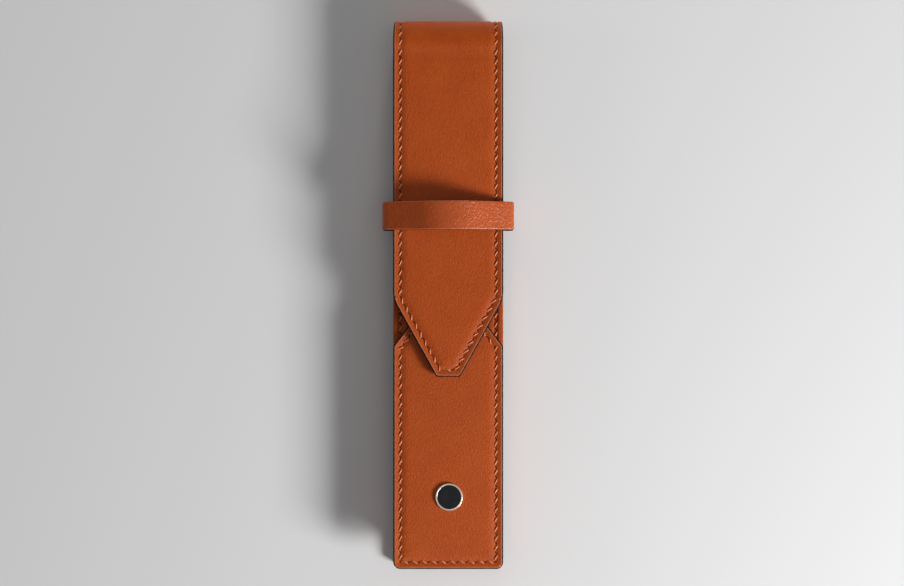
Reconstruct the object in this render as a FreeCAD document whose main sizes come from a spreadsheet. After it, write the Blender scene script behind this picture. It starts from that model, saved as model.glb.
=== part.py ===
import FreeCAD, Part
import math
import os
import Sketcher
from FreeCAD import Placement, Rotation, Vector

# A leather case for one pen, lying on its back with the front up.
# X runs across it, Y from the bottom edge to the fold at the top end, and Z up from the back's outer face.
# Sizes are in millimetres and degrees, and heights along the case count from its bottom edge.
SIZES = {
    # the case as a whole
    "case_width": 33.0,
    "case_length": 165.0,
    "outer_leather": 1.0,
    "lining_leather": 0.8,
    "pocket_depth": 11.4,
    "corner_radius": 2.1,
    # the front panel
    "front_shoulder": 67.0,
    "front_top": 80.0,
    "front_top_width": 13.0,
    # the flap and the fold that carries it
    "flap_gap": 0.3,
    "flap_shoulder": 81.0,
    "flap_shoulder_radius": 9.0,
    "flap_tip": 57.8,
    "flap_tip_width": 7.2,
    "flap_tip_radius": 1.2,
    "fold_gap": 0.06,
    # the gusset, a channel round both sides and the bottom
    "gusset_leather": 1.0,
    "gusset_flange": 4.5,
    "gusset_corner": 3.0,
    "gusset_top": 98.0,
    "gusset_slope": 8.0,
    # the loop over the flap
    "loop_span": 39.5,
    "loop_width": 9.0,
    "loop_height": 105.7,
    "loop_leather": 1.5,
    "loop_tab": 4.5,
    "loop_pitch_angle": 24.0,
    "loop_bend": 1.1,
    "loop_crown": 18.0,
    "loop_clearance": 0.4,
    # the seams
    "seam_inset": 2.15,
    "groove_width": 1.3,
    "groove_depth": 0.35,
    "stitch_pitch": 2.87,
    "stitch_length": 1.8,
    "stitch_width": 0.5,
    "stitch_height": 0.3,
    "stitch_slant": 18.0,
    # the emblem on the front panel
    "emblem_height": 21.3,
    "bezel_diameter": 8.2,
    "bezel_height": 0.9,
    "bezel_floor": 0.3,
    "bezel_slope": 0.2,
    "disc_diameter": 7.1,
    "disc_height": 0.55,
    "disc_edge": 0.25,
    "stem_diameter": 2.4,
    "washer_diameter": 6.0,
    "washer_thickness": 0.4,
    "fit_clearance": 0.03,
}

# The fold is as many equal arcs of the strip, each of which turns on the last.
FOLD_ARCS = 4
ARC_DEGREES = 180.0 / FOLD_ARCS
# Two places closer than this are the same place.
SAME_PLACE = 1e-4

# Levels of the layers above the table, from the back to the flap.
GUSSET_LEVEL = "(Sizes.outer_leather + Sizes.lining_leather)"
FRONT_LINING_LEVEL = f"({GUSSET_LEVEL} + Sizes.pocket_depth)"
FRONT_LEVEL = f"({FRONT_LINING_LEVEL} + Sizes.lining_leather)"
FRONT_FACE = f"({FRONT_LEVEL} + Sizes.outer_leather)"
FLAP_LINING_LEVEL = f"({FRONT_FACE} + Sizes.flap_gap)"
FLAP_LEVEL = f"({FLAP_LINING_LEVEL} + Sizes.lining_leather)"
DEPTH = f"({FLAP_LEVEL} + Sizes.outer_leather)"

# The fold's outer face is half a cylinder as deep as the closed case.
FOLD_RADIUS = f"({DEPTH} / 2)"
FOLD_CENTRE = f"(Sizes.case_length - {FOLD_RADIUS})"
STRIP_END = f"({FOLD_CENTRE} - Sizes.fold_gap / 2)"

HALF_WIDTH = "(Sizes.case_width / 2)"
GROOVE_OUTER = "(Sizes.seam_inset - Sizes.groove_width / 2)"
GROOVE_INNER = "(Sizes.seam_inset + Sizes.groove_width / 2)"

doc = FreeCAD.newDocument("PenCase")
sheet = doc.addObject("Spreadsheet::Sheet", "Sizes")
for row, (alias, value) in enumerate(SIZES.items(), start=1):
    sheet.set(f"A{row}", alias.replace("_", " "))
    sheet.set(f"B{row}", str(value))
    sheet.setAlias(f"B{row}", alias)
doc.recompute()


def origin_plane(body, role):
    """Finds one of a body's own origin planes by its role."""
    return next(plane for plane in body.Origin.OriginFeatures if plane.Role == role)


def new_body(label, level="0", height="0"):
    """Starts a sub-part whose own origin lies on the centre line at a height along the case and a level above the table."""
    body = doc.addObject("PartDesign::Body", label)
    body.Label = label
    body.setExpression("Placement.Base.y", f"{height} - Sizes.case_length / 2")
    body.setExpression("Placement.Base.z", level)
    return body


def new_sketch(body, name, role="XY_Plane", lift=None):
    """Starts a sketch on one of the body's origin planes, lifted off it where asked."""
    sketch = body.newObject("Sketcher::SketchObject", name)
    sketch.AttachmentSupport = [(origin_plane(body, role), "")]
    sketch.MapMode = "FlatFace"
    if lift:
        sketch.setExpression("AttachmentOffset.Base.z", lift)
    return sketch


def hold(sketch, kind, size, guess, *place):
    """Adds one distance or radius to a sketch and binds it to the sheet."""
    number = sketch.addConstraint(Sketcher.Constraint(kind, *place, guess))
    sketch.setExpression(f"Constraints[{number}]", size)


def draw(sketch, corners, closed=True):
    """Draws straight lines through corners, each given by its two bound distances from the sketch's origin."""
    count = len(corners)
    lines = count if closed else count - 1
    first = sketch.GeometryCount
    turns = [2 * math.pi * n / count for n in range(count)]
    guesses = [Vector(math.cos(turn), math.sin(turn), 0) for turn in turns]
    for n in range(lines):
        sketch.addGeometry(Part.LineSegment(guesses[n], guesses[(n + 1) % count]))
    for n in range(lines if closed else lines - 1):
        following = first + (n + 1) % count
        sketch.addConstraint(Sketcher.Constraint("Coincident", first + n, 2, following, 1))
    for n, (across, along) in enumerate(corners):
        place = (first + n, 1) if n < lines else (first + n - 1, 2)
        hold(sketch, "DistanceX", across, guesses[n].x, -1, 1, *place)
        hold(sketch, "DistanceY", along, guesses[n].y, -1, 1, *place)


def draw_circle(sketch, along, diameter):
    """Draws a circle on the centre line."""
    number = sketch.addGeometry(Part.Circle(Vector(0, 1, 0), Vector(0, 0, 1), 1))
    hold(sketch, "DistanceX", "0", 0, -1, 1, number, 3)
    hold(sketch, "DistanceY", along, 1, -1, 1, number, 3)
    hold(sketch, "Radius", f"{diameter} / 2", 1, number)


def pad(body, sketch, length, both_ways=False):
    """Raises a sketch into a solid."""
    feature = body.newObject("PartDesign::Pad", f"{sketch.Name}Pad")
    feature.Profile = sketch
    feature.Midplane = both_ways
    feature.setExpression("Length", length)
    doc.recompute()
    return feature


def pocket(body, sketch, length, upwards=False, both_ways=False):
    """Sinks a sketch into the solid and makes sure that it took something away."""
    before = body.Shape.Volume
    feature = body.newObject("PartDesign::Pocket", f"{sketch.Name}Pocket")
    feature.Profile = sketch
    feature.Reversed = upwards
    feature.Midplane = both_ways
    feature.setExpression("Length", length)
    doc.recompute()
    if not body.Shape.Volume < before:
        raise RuntimeError(f"{feature.Name} cut nothing")
    return feature


def revolve(body, sketch, axis, degrees, both_ways=False):
    """Turns a sketch about one of its own axes."""
    feature = body.newObject("PartDesign::Revolution", f"{sketch.Name}Turn")
    feature.Profile = sketch
    feature.ReferenceAxis = (sketch, [axis])
    feature.Midplane = both_ways
    feature.setExpression("Angle", degrees)
    doc.recompute()
    return feature


def round_edges(body, name, radius, wanted):
    """Rounds the straight edges of the body that a test picks by direction and middle."""
    edges = []
    for number, edge in enumerate(body.Shape.Edges, start=1):
        line = edge.Curve.TypeId == "Part::GeomLine"
        if line and wanted(edge.Curve.Direction, edge.CenterOfMass - body.Placement.Base):
            edges.append(f"Edge{number}")
    base = body.Tip
    feature = body.newObject("PartDesign::Fillet", name)
    feature.Base = (base, edges)
    feature.setExpression("Radius", radius)
    doc.recompute()


def upright_at(*heights):
    """Makes a test for upright edges at given heights along the case."""

    def wanted(direction, middle):
        upright = abs(direction.z) > 1 - SAME_PLACE
        return upright and any(abs(middle.y - height) < SAME_PLACE for height in heights)

    return wanted


def mirrored(side):
    """Continues one side's corners, which run to the bottom, up the other side."""
    return side + [(f"-({across})", along) for across, along in reversed(side)]


def band(path, outer, inner):
    """Corners of the strip between one path at two insets."""
    return mirrored(path(outer)) + list(reversed(mirrored(path(inner))))


# Outlines, given as the corners of the side with x above 0 at an inset from the edge.


def back_side(inset):
    """Side and bottom corner of the strip that lies on the table."""
    across = f"{HALF_WIDTH} - {inset}"
    return [(across, STRIP_END), (across, inset)]


def gusset_side(inset):
    """Side and bottom corner of the gusset."""
    across = f"{HALF_WIDTH} - {inset}"
    return [(across, "Sizes.gusset_top"), (across, inset)]


CHAMFER_RISE = "(Sizes.front_top - Sizes.front_shoulder)"
CHAMFER_RUN = f"({HALF_WIDTH} - Sizes.front_top_width / 2)"
CHAMFER_ANGLE = f"atan({CHAMFER_RISE} / {CHAMFER_RUN})"


def front_side(inset):
    """Top corner, shoulder and bottom corner of the front panel."""
    across = f"{HALF_WIDTH} - {inset}"
    return [
        (f"Sizes.front_top_width / 2 - {inset} * tan({CHAMFER_ANGLE} / 2)", f"Sizes.front_top - {inset}"),
        (across, f"Sizes.front_shoulder - {inset} * tan((90 deg - {CHAMFER_ANGLE}) / 2)"),
        (across, inset),
    ]


TAPER_ANGLE = f"atan(({HALF_WIDTH} - Sizes.flap_tip_width / 2) / (Sizes.flap_shoulder - Sizes.flap_tip))"


def flap_side(inset):
    """Fold end, shoulder and tip corner of the flap."""
    across = f"{HALF_WIDTH} - {inset}"
    return [
        (across, STRIP_END),
        (across, f"Sizes.flap_shoulder + {inset} * tan({TAPER_ANGLE} / 2)"),
        (
            f"Sizes.flap_tip_width / 2 - {inset} * tan((90 deg - {TAPER_ANGLE}) / 2)",
            f"Sizes.flap_tip + {inset}",
        ),
    ]


def panel(label, level, thickness, side):
    """A flat panel of leather with square corners."""
    body = new_body(label, level)
    outline = new_sketch(body, f"{label}_outline")
    draw(outline, mirrored(side("0")))
    pad(body, outline, thickness)
    return body


def open_seam(body, side, face, floor, upwards=False):
    """Sinks a stitch groove along a path that is open at its top end, and returns the seam's line on its floor."""
    groove = new_sketch(body, f"{body.Label}_groove", lift=face)
    draw(groove, band(side, GROOVE_OUTER, GROOVE_INNER))
    pocket(body, groove, "Sizes.groove_depth", upwards)
    seam = new_sketch(body, f"{body.Label}_seam", lift=floor)
    draw(seam, mirrored(side("Sizes.seam_inset")), closed=False)
    return seam


def closed_seam(body, side, face, floor):
    """Sinks a stitch groove that runs all the way round, and returns the seam's line on its floor."""
    groove = new_sketch(body, f"{body.Label}_groove", lift=face)
    draw(groove, mirrored(side(GROOVE_OUTER)))
    draw(groove, mirrored(side(GROOVE_INNER)))
    pocket(body, groove, "Sizes.groove_depth")
    seam = new_sketch(body, f"{body.Label}_seam", lift=floor)
    draw(seam, mirrored(side("Sizes.seam_inset")))
    return seam


def stitch(spot, heading, downwards=False):
    """One stitch, a short bar laid slantwise on the seam's line at a spot."""
    length, width, height = sheet.stitch_length, sheet.stitch_width, sheet.stitch_height
    corner = Vector(-length / 2, -width / 2, -height if downwards else 0)
    bar = Part.makeBox(length, width, height, corner)
    slanted = Rotation(Vector(0, 0, 1), heading + sheet.stitch_slant)
    bar.Placement = Placement(spot, slanted)
    return bar


def thread(label, body, seam, downwards=False):
    """All the stitches of a flat seam, evenly spaced on each straight run of its line."""
    doc.recompute()
    bars = []
    for run in seam.Shape.Edges:
        start, end = (vertex.Point for vertex in run.Vertexes)
        along = end - start
        heading = math.degrees(math.atan2(along.y, along.x))
        count = int(run.Length / sheet.stitch_pitch)
        spots = [start + along * ((n + 0.5) / count) for n in range(count)]
        bars += [stitch(spot, heading, downwards) for spot in spots]
    feature = doc.addObject("Part::Feature", label)
    feature.Label = label
    feature.Shape = Part.makeCompound(bars)
    feature.Placement = body.Placement
    return feature


def back():
    """Outer leather and lining of the back, up to the fold, with the seam in the outer face."""
    outer = panel("back_outer", "0", "Sizes.outer_leather", back_side)
    round_edges(outer, "back_corners", "Sizes.corner_radius", upright_at(0))
    seam = open_seam(outer, back_side, None, "Sizes.groove_depth", upwards=True)
    lining = panel("back_lining", "Sizes.outer_leather", "Sizes.lining_leather", back_side)
    round_edges(lining, "back_lining_corners", "Sizes.corner_radius", upright_at(0))
    return [outer, lining, thread("back_thread", outer, seam, downwards=True)]


def gusset():
    """Channel with both flanges turned outwards, and the stitches that show beyond the front panel's chamfers."""
    body = new_body("gusset", GUSSET_LEVEL)
    upper = "Sizes.pocket_depth - Sizes.gusset_leather"
    web_outer = "(Sizes.gusset_flange - Sizes.gusset_leather)"
    for name, outer, lift, height in (
        ("gusset_back_flange", "0", None, "Sizes.gusset_leather"),
        ("gusset_web", web_outer, None, "Sizes.pocket_depth"),
        ("gusset_front_flange", "0", upper, "Sizes.gusset_leather"),
    ):
        sketch = new_sketch(body, name, lift=lift)
        draw(sketch, band(gusset_side, outer, "Sizes.gusset_flange"))
        pad(body, sketch, height)
    inside = sheet.gusset_flange
    round_edges(body, "gusset_inside", "Sizes.gusset_corner", upright_at(inside))
    outside = upright_at(inside - sheet.gusset_leather)
    round_edges(body, "gusset_outside", "Sizes.gusset_corner + Sizes.gusset_leather", outside)
    round_edges(body, "gusset_corners", "Sizes.corner_radius", upright_at(0))
    groove = new_sketch(body, "gusset_groove", lift="Sizes.pocket_depth")
    draw(groove, band(gusset_side, GROOVE_OUTER, GROOVE_INNER))
    pocket(body, groove, "Sizes.groove_depth")
    slope = new_sketch(body, "gusset_end", "YZ_Plane")
    front_end = "Sizes.gusset_top - Sizes.gusset_slope"
    draw(
        slope,
        [
            ("Sizes.gusset_top", "0"),
            ("Sizes.gusset_top", "Sizes.pocket_depth"),
            (front_end, "Sizes.pocket_depth"),
        ],
    )
    pocket(body, slope, "Sizes.case_width", both_ways=True)
    seam = new_sketch(body, "gusset_seam", lift="Sizes.pocket_depth - Sizes.groove_depth")
    across = f"{HALF_WIDTH} - Sizes.seam_inset"
    shows_from = f"Sizes.front_shoulder + Sizes.seam_inset * {CHAMFER_RISE} / {CHAMFER_RUN}"
    shows_to = f"{front_end} - Sizes.seam_inset"
    draw(seam, [(across, shows_to), (across, shows_from)], closed=False)
    draw(seam, [(f"-({across})", shows_from), (f"-({across})", shows_to)], closed=False)
    return [body, thread("gusset_thread", body, seam)]


def front():
    """Front panel and its lining, holed for the emblem's stem."""
    outer = panel("front_outer", FRONT_LEVEL, "Sizes.outer_leather", front_side)
    round_edges(outer, "front_corners", "Sizes.corner_radius", upright_at(0))
    floor = "Sizes.outer_leather - Sizes.groove_depth"
    seam = closed_seam(outer, front_side, "Sizes.outer_leather", floor)
    lining = panel("front_lining", FRONT_LINING_LEVEL, "Sizes.lining_leather", front_side)
    round_edges(lining, "front_lining_corners", "Sizes.corner_radius", upright_at(0))
    stem_hole = "(Sizes.stem_diameter + 2 * Sizes.fit_clearance)"
    washer_seat = "(Sizes.washer_diameter + 2 * Sizes.fit_clearance)"
    for body, thickness in ((outer, "Sizes.outer_leather"), (lining, "Sizes.lining_leather")):
        hole = new_sketch(body, f"{body.Label}_hole", lift=thickness)
        draw_circle(hole, "Sizes.emblem_height", stem_hole)
        pocket(body, hole, thickness)
    seat = new_sketch(lining, "washer_seat")
    draw_circle(seat, "Sizes.emblem_height", washer_seat)
    pocket(lining, seat, "Sizes.washer_thickness", upwards=True)
    return [outer, lining, thread("front_thread", outer, seam)]


def emblem():
    """Metal rim with a stem through the panel, the plain disc in it and the washer behind."""
    bezel = new_body("emblem_bezel", FRONT_FACE, "Sizes.emblem_height")
    stem_end = "-(Sizes.outer_leather + Sizes.lining_leather)"
    stem, rim = "Sizes.stem_diameter / 2", "Sizes.bezel_diameter / 2"
    well = "Sizes.disc_diameter / 2 + Sizes.fit_clearance"
    profile = new_sketch(bezel, "bezel_profile", "XZ_Plane")
    draw(
        profile,
        [
            ("0", stem_end),
            (stem, stem_end),
            (stem, "0"),
            (rim, "0"),
            (rim, "Sizes.bezel_height - Sizes.bezel_slope"),
            (f"{rim} - Sizes.bezel_slope", "Sizes.bezel_height"),
            (well, "Sizes.bezel_height"),
            (well, "Sizes.bezel_floor"),
            ("0", "Sizes.bezel_floor"),
        ],
    )
    revolve(bezel, profile, "V_Axis", "360")

    disc = new_body("emblem_disc", f"{FRONT_FACE} + Sizes.bezel_floor", "Sizes.emblem_height")
    profile = new_sketch(disc, "disc_profile", "XZ_Plane")
    edge = "Sizes.disc_diameter / 2"
    draw(
        profile,
        [
            ("0", "0"),
            (edge, "0"),
            (edge, "Sizes.disc_height - Sizes.disc_edge"),
            (f"{edge} - 2 * Sizes.disc_edge", "Sizes.disc_height"),
            ("0", "Sizes.disc_height"),
        ],
    )
    revolve(disc, profile, "V_Axis", "360")

    washer = new_body("emblem_washer", FRONT_LINING_LEVEL, "Sizes.emblem_height")
    profile = new_sketch(washer, "washer_profile", "XZ_Plane")
    bore, brim = f"{stem} + Sizes.fit_clearance", "Sizes.washer_diameter / 2"
    low, high = "0", "Sizes.washer_thickness"
    draw(profile, [(bore, low), (brim, low), (brim, high), (bore, high)])
    revolve(washer, profile, "V_Axis", "360")
    return [bezel, disc, washer]


def flap():
    """Pointed flap and its lining, from the fold's upper end to the tip."""
    pieces = []
    for label, level, thickness in (
        ("flap_outer", FLAP_LEVEL, "Sizes.outer_leather"),
        ("flap_lining", FLAP_LINING_LEVEL, "Sizes.lining_leather"),
    ):
        body = panel(label, level, thickness, flap_side)
        shoulders = upright_at(sheet.flap_shoulder)
        round_edges(body, f"{label}_shoulders", "Sizes.flap_shoulder_radius", shoulders)
        round_edges(body, f"{label}_tip", "Sizes.flap_tip_radius", upright_at(sheet.flap_tip))
        pieces.append(body)
    outer = pieces[0]
    floor = "Sizes.outer_leather - Sizes.groove_depth"
    seam = open_seam(outer, flap_side, "Sizes.outer_leather", floor)
    return pieces + [thread("flap_thread", outer, seam)]


def arc_body(label, corners, turn):
    """One arc of the fold, turned about the roll's centre line from a section that stands above it."""
    body = new_body(label, FOLD_RADIUS, FOLD_CENTRE)
    section = new_sketch(body, f"{label}_section", "XZ_Plane")
    draw(section, corners)
    gap_angle = f"Sizes.fold_gap / {FOLD_RADIUS} * 180 / pi"
    revolve(body, section, "H_Axis", f"{ARC_DEGREES} - {gap_angle}", both_ways=True)
    doc.recompute()
    body.Placement.Rotation = Rotation(Vector(1, 0, 0), turn)
    return body


def fold_stitches(label, body):
    """Stitches laid round one arc of the fold, on both its seams."""
    seam = sheet.case_width / 2 - sheet.seam_inset
    # the roll rests on the table, so its centre is as high as its radius
    radius = body.Placement.Base.z - sheet.groove_depth
    count = int(math.radians(ARC_DEGREES) * radius / sheet.stitch_pitch)
    bars = []
    for n in range(count):
        lean = (n + 0.5 - count / 2) * math.degrees(sheet.stitch_pitch / radius)
        for across in (-seam, seam):
            bar = stitch(Vector(across, 0, radius), 90)
            bar.rotate(Vector(0, 0, 0), Vector(1, 0, 0), lean)
            bars.append(bar)
    feature = doc.addObject("Part::Feature", label)
    feature.Label = label
    feature.Shape = Part.makeCompound(bars)
    feature.Placement = body.Placement
    return feature


def fold():
    """The strip's roll over the top end, in equal arcs, each with outer leather, lining and stitches."""
    middle = f"({FOLD_RADIUS} - Sizes.outer_leather)"
    inner = f"({middle} - Sizes.lining_leather)"
    low = f"({FOLD_RADIUS} - Sizes.groove_depth)"
    edge, near, far = HALF_WIDTH, f"({HALF_WIDTH} - {GROOVE_OUTER})", f"({HALF_WIDTH} - {GROOVE_INNER})"
    outer_side = [
        (far, FOLD_RADIUS),
        (far, low),
        (near, low),
        (near, FOLD_RADIUS),
        (edge, FOLD_RADIUS),
        (edge, middle),
    ]
    lining_side = [(edge, middle), (edge, inner)]
    pieces = []
    for n in range(FOLD_ARCS):
        turn = (n + 0.5) * ARC_DEGREES - 180
        outer = arc_body(f"fold_outer_{n + 1}", mirrored(outer_side), turn)
        lining = arc_body(f"fold_lining_{n + 1}", mirrored(lining_side), turn)
        pieces += [outer, lining, fold_stitches(f"fold_thread_{n + 1}", outer)]
    return pieces


def loop():
    """Raised strap: tabs on the back's lining, legs past both edges and a roof-shaped arch over the flap."""
    body = new_body("loop_strap", GUSSET_LEVEL, "Sizes.loop_height")
    thick, pitch = "Sizes.loop_leather", "(Sizes.loop_pitch_angle * 1 deg)"
    reach = "Sizes.loop_span / 2"
    overhang = f"({reach} - {thick} - {HALF_WIDTH})"
    mitre = f"({thick} * tan((90 deg - {pitch}) / 2))"
    over_flap = f"({DEPTH} - {GUSSET_LEVEL} + Sizes.loop_clearance)"
    shoulder = f"({over_flap} + {mitre} - {overhang} * tan({pitch}))"
    ridge = f"({shoulder} + {reach} * tan({pitch}))"
    tab_end = f"{HALF_WIDTH} - Sizes.loop_tab"
    outside = [(reach, shoulder), (reach, "0"), (tab_end, "0")]
    inside = [(tab_end, thick), (f"{reach} - {thick}", thick), (f"{reach} - {thick}", f"{shoulder} - {mitre}")]
    left = [(f"-({across})", along) for across, along in reversed(outside + inside)]
    section = new_sketch(body, "loop_section", "XZ_Plane")
    draw(section, [("0", ridge)] + outside + inside + [("0", f"{ridge} - {thick} / cos({pitch})")] + left)
    pad(body, section, "Sizes.loop_width", both_ways=True)
    outer_reach = sheet.loop_span / 2
    inner_reach = outer_reach - sheet.loop_leather
    crown = body.Shape.BoundBox.ZMax - body.Placement.Base.z

    def bend_at(across):
        """Makes a test for bends along the strap's width at a distance from the centre line."""
        return lambda way, spot: abs(way.y) > 1 - SAME_PLACE and abs(abs(spot.x) - across) < SAME_PLACE

    def ridge_on(outer_face):
        """Makes a test for the ridge on the outer or the inner face."""
        at_centre = bend_at(0)
        return lambda way, spot: at_centre(way, spot) and (abs(spot.z - crown) < SAME_PLACE) == outer_face

    round_edges(body, "loop_outer_bends", f"Sizes.loop_bend + {thick}", bend_at(outer_reach))
    round_edges(body, "loop_inner_bends", "Sizes.loop_bend", bend_at(inner_reach))
    round_edges(body, "loop_crown_outside", f"Sizes.loop_crown + {thick}", ridge_on(True))
    round_edges(body, "loop_crown_inside", "Sizes.loop_crown", ridge_on(False))
    return [body]


def check(pieces):
    """Stops the build where an object failed or a sub-part's shape isn't sound."""
    for thing in doc.Objects:
        if "Invalid" in thing.State or "Error" in thing.State:
            raise RuntimeError(f"{thing.Label} failed: {thing.State}")
    for piece in pieces:
        if piece.Shape.isNull() or not piece.Shape.isValid():
            raise RuntimeError(f"{piece.Label} has no sound shape")


def write(pieces):
    """Writes each sub-part's shape to its own file."""
    os.makedirs("parts", exist_ok=True)
    for piece in pieces:
        piece.Shape.exportStep(f"parts/{piece.Label}.step")
        box = piece.Shape.BoundBox
        print(f"{piece.Label}: {len(piece.Shape.Solids)} solids, z {box.ZMin:.2f} to {box.ZMax:.2f}")


pieces = back() + gusset() + front() + emblem() + fold() + flap() + loop()
doc.recompute()
check(pieces)
write(pieces)
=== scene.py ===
import logging
import math
from dataclasses import dataclass, field
from enum import Enum
from typing import Callable, Iterable, Sequence

import bmesh
import bpy
import numpy as np
from mathutils import Matrix, Vector


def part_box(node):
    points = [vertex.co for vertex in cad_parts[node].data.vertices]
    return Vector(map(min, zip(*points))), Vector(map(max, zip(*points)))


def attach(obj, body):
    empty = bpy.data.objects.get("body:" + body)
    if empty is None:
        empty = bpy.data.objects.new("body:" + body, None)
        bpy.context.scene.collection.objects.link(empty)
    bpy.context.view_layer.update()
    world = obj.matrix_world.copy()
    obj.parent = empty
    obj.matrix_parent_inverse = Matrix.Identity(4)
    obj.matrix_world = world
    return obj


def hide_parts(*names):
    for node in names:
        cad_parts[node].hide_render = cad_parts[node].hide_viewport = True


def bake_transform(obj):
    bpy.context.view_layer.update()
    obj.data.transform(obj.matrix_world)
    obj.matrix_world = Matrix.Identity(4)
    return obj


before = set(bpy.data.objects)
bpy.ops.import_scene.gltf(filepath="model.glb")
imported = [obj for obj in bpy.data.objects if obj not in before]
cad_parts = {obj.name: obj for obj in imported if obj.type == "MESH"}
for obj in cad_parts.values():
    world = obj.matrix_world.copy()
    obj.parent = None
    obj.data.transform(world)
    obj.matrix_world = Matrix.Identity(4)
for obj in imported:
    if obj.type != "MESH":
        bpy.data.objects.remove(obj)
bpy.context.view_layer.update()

MM = 0.001
WELD = 0.001 * MM
SEAM_INSET = 2.15 * MM
LOG = logging.getLogger("pen_case")

Mesh = bmesh.types.BMesh
Material = bpy.types.Material
Socket = bpy.types.NodeSocket
Colour = tuple[float, float, float]
Range = tuple[float, float]
Mapping = Callable[[Vector], Vector]
Heights = Callable[[np.ndarray, np.ndarray], np.ndarray]


class Slot(Enum):
    """Material slots of the record, one named for each piece; nothing in the script applies them."""

    OUTER = "outer_leather"
    LINING = "lining_leather"
    THREAD = "thread"
    METAL = "bright_metal"
    INLAY = "black_inlay"


class Body(Enum):
    """Bodies that the pieces ride on."""

    POUCH = "pouch"
    FLAP = "flap"


class Face(Enum):
    """Material numbers of a leather sheet's faces."""

    SKIN = 0
    PAINT = 1
    BACKING = 2
    # painted highlight: a paler band just inside the black edge paint, standing for light caught on the
    # rounded edge
    EDGE_HIGHLIGHT = 3


@dataclass(frozen=True)
class Cloud:
    """Cloudy noise: the size of its patches, its detail and how rough that detail is."""

    size: float
    detail: float = 3.0
    rough: float = 0.5


class Shader:
    """A new node material with its Principled shader, and short calls to add nodes to it."""

    noise_middle: Range = (0.3, 0.7)

    def __init__(self, name: str, colour: Colour, roughness: float, **sockets: float) -> None:
        """Starts the material.

        Args:
            name: the material's name.
            colour: plain base colour, linear.
            roughness: plain roughness.
            sockets: values of other Principled sockets, with spaces written as underscores.
        """
        self.material = bpy.data.materials.new(name)
        self.material.use_nodes = True
        self.tree = self.material.node_tree
        self.principled = self.tree.nodes["Principled BSDF"]
        self.principled.inputs["Base Color"].default_value = (*colour, 1.0)
        self.principled.inputs["Roughness"].default_value = roughness
        for socket, value in sockets.items():
            self.principled.inputs[socket.replace("_", " ")].default_value = value
        self.coordinates = self.node("ShaderNodeTexCoord").outputs["Object"]

    def node(
        self, kind: str, inputs: dict[str | int, object] | None = None, **settings: object
    ) -> bpy.types.Node:
        """Adds a node.

        Args:
            kind: the node's type name.
            inputs: values or output sockets for its inputs, by name or number.
            settings: values of the node's own properties.

        Returns:
            The new node.
        """
        made = self.tree.nodes.new(kind)
        for key, value in settings.items():
            setattr(made, key, value)
        for key, value in (inputs or {}).items():
            if isinstance(value, Socket):
                self.tree.links.new(value, made.inputs[key])
            else:
                made.inputs[key].default_value = value
        return made

    def noise(self, cloud: Cloud, at: Socket | None = None) -> Socket:
        """Adds cloudy noise.

        Args:
            cloud: the noise.
            at: coordinates to read it at, or none for the object's own.

        Returns:
            The noise's values.
        """
        where = self.coordinates if at is None else at
        inputs = {
            "Vector": where,
            "Scale": 1 / cloud.size,
            "Detail": cloud.detail,
            "Roughness": cloud.rough,
        }
        return self.node("ShaderNodeTexNoise", inputs).outputs["Fac"]

    def spread(self, value: Socket, low: float = 0.0, high: float = 1.0) -> Socket:
        """Maps the middle of a noise's range to a range of its own.

        Args:
            value: the noise.
            low: low end of the new range.
            high: high end of the new range.

        Returns:
            The mapped values.
        """
        first, last = self.noise_middle
        inputs = {"Value": value, "From Min": first, "From Max": last, "To Min": low, "To Max": high}
        return self.node("ShaderNodeMapRange", inputs).outputs["Result"]

    def between(self, share: Socket, first: Colour, second: Colour) -> Socket:
        """Mixes two colours.

        Args:
            share: share of the second colour.
            first: the colour at a share of 0.
            second: the colour at a share of 1.

        Returns:
            The mixed colour.
        """
        mix = self.node("ShaderNodeMix", data_type="RGBA")
        self.tree.links.new(share, mix.inputs["Factor"])
        for socket in mix.inputs:
            if socket.type == "RGBA":
                socket.default_value = (*(first if socket.name == "A" else second), 1.0)
        return next(out for out in mix.outputs if out.type == "RGBA")

    def times(self, first: Socket, second: Socket) -> Socket:
        """Multiplies two colours.

        Args:
            first: one colour.
            second: the other.

        Returns:
            Their product.
        """
        mix = self.node("ShaderNodeMix", data_type="RGBA", blend_type="MULTIPLY")
        mix.inputs["Factor"].default_value = 1.0
        colours = [socket for socket in mix.inputs if socket.type == "RGBA"]
        for colour, socket in zip((first, second), colours):
            self.tree.links.new(colour, socket)
        return next(out for out in mix.outputs if out.type == "RGBA")

    def bump(
        self, height: Socket, depth: float, under: Socket | None = None
    ) -> Socket:
        """Bends the surface's normals by a height.

        Args:
            height: the height, from 0 to 1.
            depth: how deep 1 is, in metres.
            under: normals of another bump that this one lies on.

        Returns:
            The bent normals.
        """
        made = self.node("ShaderNodeBump", {"Height": height, "Distance": depth, "Strength": 1.0})
        if under is not None:
            self.tree.links.new(under, made.inputs["Normal"])
        return made.outputs["Normal"]

    def wire(self, socket: str, value: Socket) -> None:
        """Feeds a Principled socket."""
        self.tree.links.new(value, self.principled.inputs[socket])


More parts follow.
